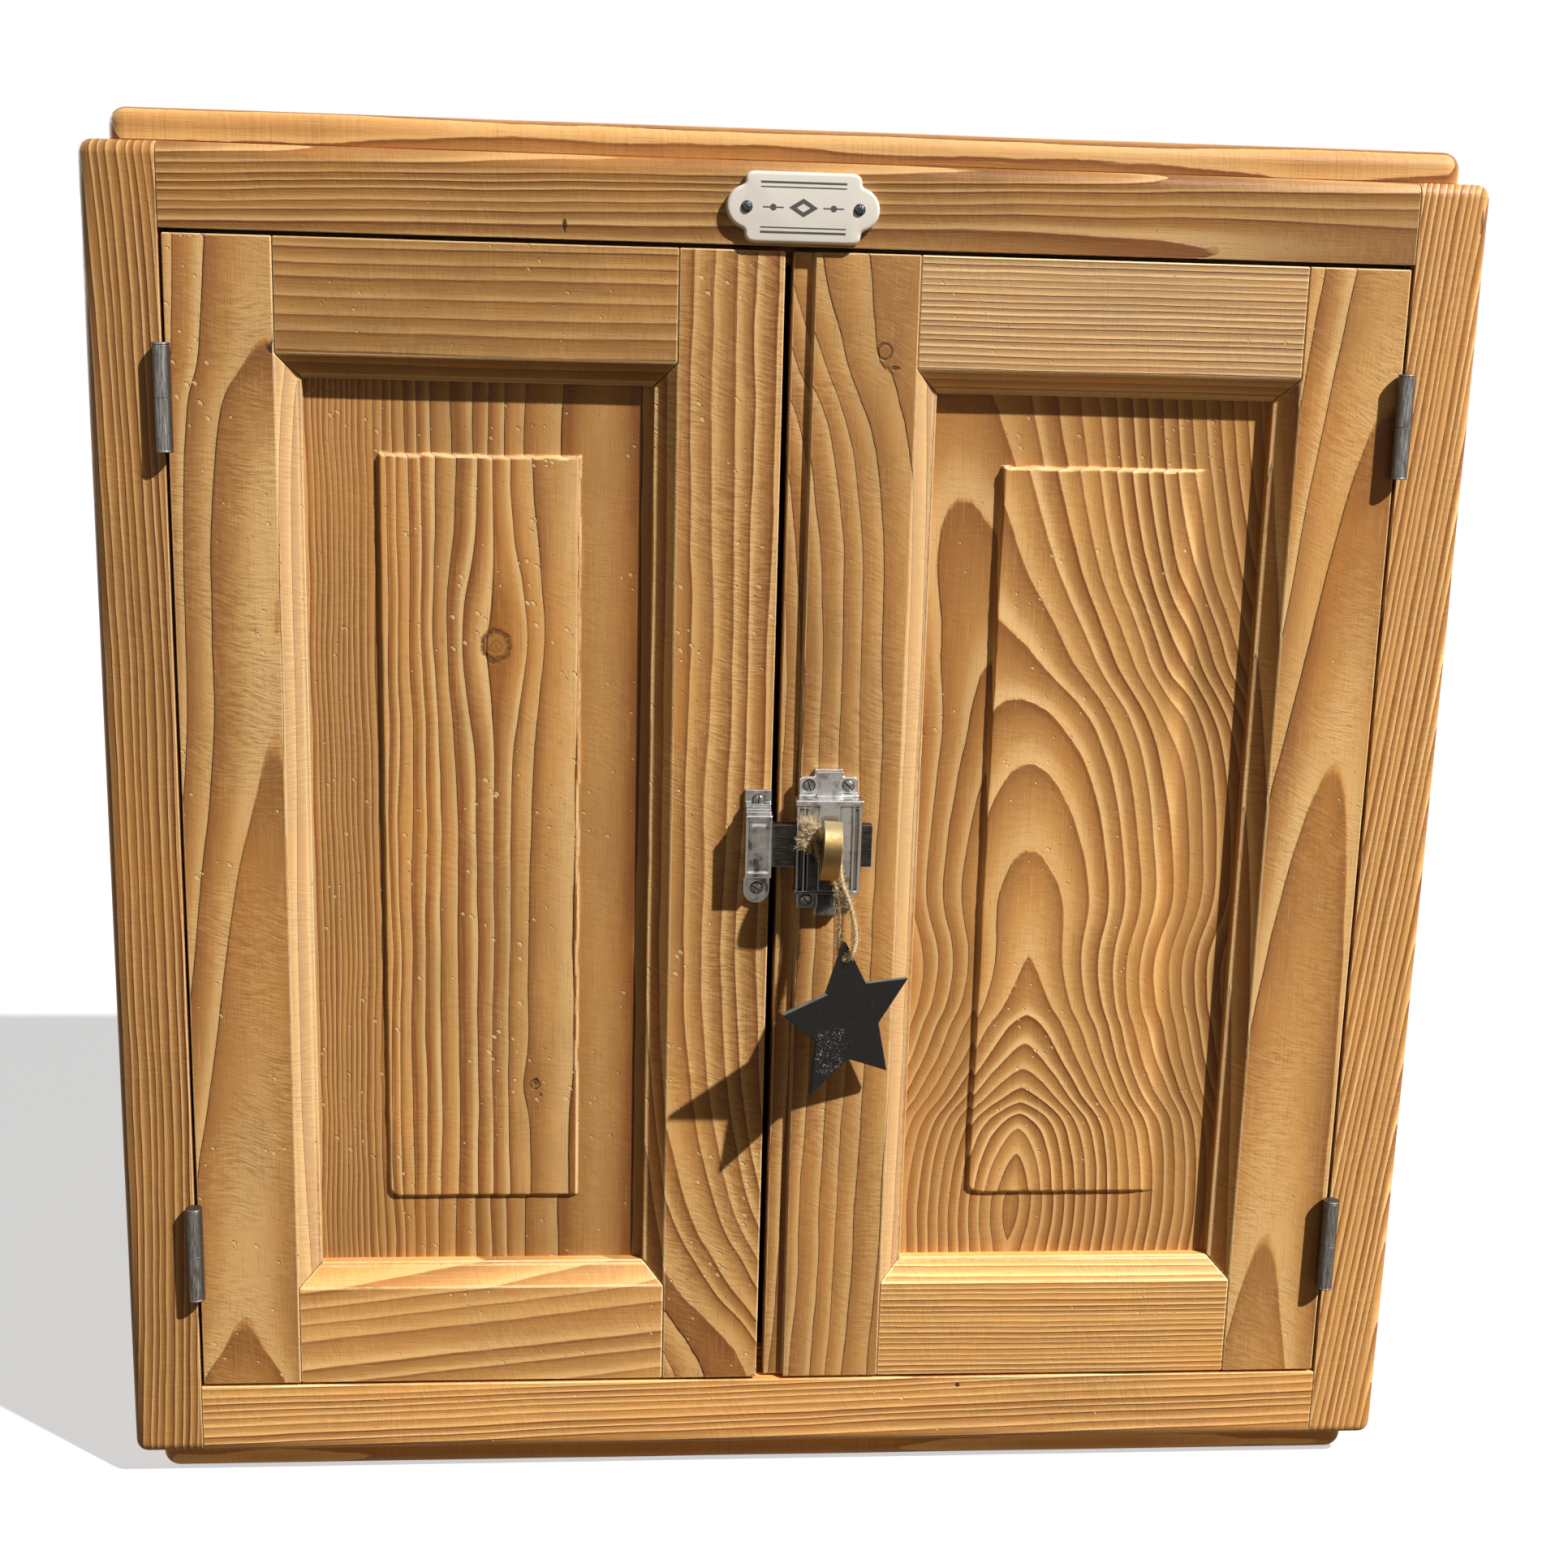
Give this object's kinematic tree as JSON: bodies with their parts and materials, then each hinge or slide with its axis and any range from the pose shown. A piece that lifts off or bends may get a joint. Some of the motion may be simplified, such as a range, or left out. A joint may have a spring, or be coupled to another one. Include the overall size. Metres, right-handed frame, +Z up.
{
  "type": "cupboard",
  "caption": "Small pine cupboard with a face frame, two panelled doors on barrel hinges, a shelf, a turn latch and a hanging star tag.",
  "frame": {"origin": "middle of the base board's underside", "axes": "+X to the right seen from the front, +Y from the doors to the back, +Z up"},
  "size_m": [0.685, 0.3674, 0.714],
  "materials": {
    "carcass_pine": "waxed old pine",
    "frame_pine": "waxed old pine",
    "door_pine": "waxed old pine",
    "panel_pine": "waxed old pine",
    "hinge_steel": "dull steel with worn bright edges",
    "screw_steel": "dark steel",
    "latch_zinc": "worn plated metal",
    "enamel": "glazed cream",
    "brass": "worn lacquered brass",
    "jute": "jute twine",
    "slate_paint": "matt dark paint"
  },
  "bodies": {
    "cabinet": {"left_side_panel": "carcass_pine", "right_side_panel": "carcass_pine", "top_board": "carcass_pine", "base_board": "carcass_pine", "back_board_left": "carcass_pine", "back_board_middle": "carcass_pine", "back_board_right": "carcass_pine", "shelf": "carcass_pine", "shelf_cleat_left": "carcass_pine", "shelf_cleat_right": "carcass_pine", "frame_stile_left": "frame_pine", "frame_stile_right": "frame_pine", "frame_rail_top": "frame_pine", "frame_rail_bottom": "frame_pine", "door_stop_top": "carcass_pine", "door_stop_bottom": "carcass_pine", "name_plate": "enamel", "plate_screws": "screw_steel", "frame_leaf_upper_left": "hinge_steel", "frame_leaf_lower_left": "hinge_steel", "frame_leaf_upper_right": "hinge_steel", "frame_leaf_lower_right": "hinge_steel", "hinge_pin_upper_left": "hinge_steel", "hinge_pin_lower_left": "hinge_steel", "hinge_pin_upper_right": "hinge_steel", "hinge_pin_lower_right": "hinge_steel", "frame_hinge_screws": "screw_steel"},
    "left_door": {"left_hinge_stile": "door_pine", "left_meeting_stile": "door_pine", "left_top_rail": "door_pine", "left_bottom_rail": "door_pine", "left_panel": "panel_pine", "door_leaf_upper_left": "hinge_steel", "door_leaf_lower_left": "hinge_steel", "left_hinge_screws": "screw_steel", "keeper": "latch_zinc", "keeper_screws": "screw_steel"},
    "right_door": {"right_hinge_stile": "door_pine", "right_meeting_stile": "door_pine", "right_top_rail": "door_pine", "right_bottom_rail": "door_pine", "right_panel": "panel_pine", "door_leaf_upper_right": "hinge_steel", "door_leaf_lower_right": "hinge_steel", "right_hinge_screws": "screw_steel", "latch_foot_plate": "latch_zinc", "latch_case": "latch_zinc", "latch_screws": "screw_steel"},
    "bolt": {"bolt": "latch_zinc"},
    "thumb_turn": {"thumb_turn": "brass", "turn_wheel": "latch_zinc"},
    "tag": {"twine": "jute", "twine_knot": "jute", "star_tag": "slate_paint"}
  },
  "joints": [
    {"name": "left_door_swing", "type": "hinge", "parent": "cabinet", "child": "left_door", "pos_m": [-0.30525, -0.1645, 0.1355], "axis": [0, 0, -1], "range_deg": [0, 170]},
    {"name": "right_door_swing", "type": "hinge", "parent": "cabinet", "child": "right_door", "pos_m": [0.30525, -0.1645, 0.1355], "axis": [0, 0, 1], "range_deg": [0, 170]},
    {"name": "turn_spin", "type": "hinge", "parent": "right_door", "child": "thumb_turn", "pos_m": [0.0215, -0.174, 0.361], "axis": [0, -1, 0], "range_deg": [-81, 81]},
    {"name": "bolt_slide", "type": "slide", "parent": "right_door", "child": "bolt", "axis": [-1, 0, 0], "range_m": [-0.007, 0.007]},
    {"name": "tag_swing", "type": "hinge", "parent": "right_door", "child": "tag", "pos_m": [0.0215, -0.177, 0.361], "axis": [0, -1, 0], "range_deg": [-20, 20]}
  ],
  "couplings": [
    {"joint": "turn_spin", "follows": "bolt_slide", "rad_per_m": 200}
  ]
}
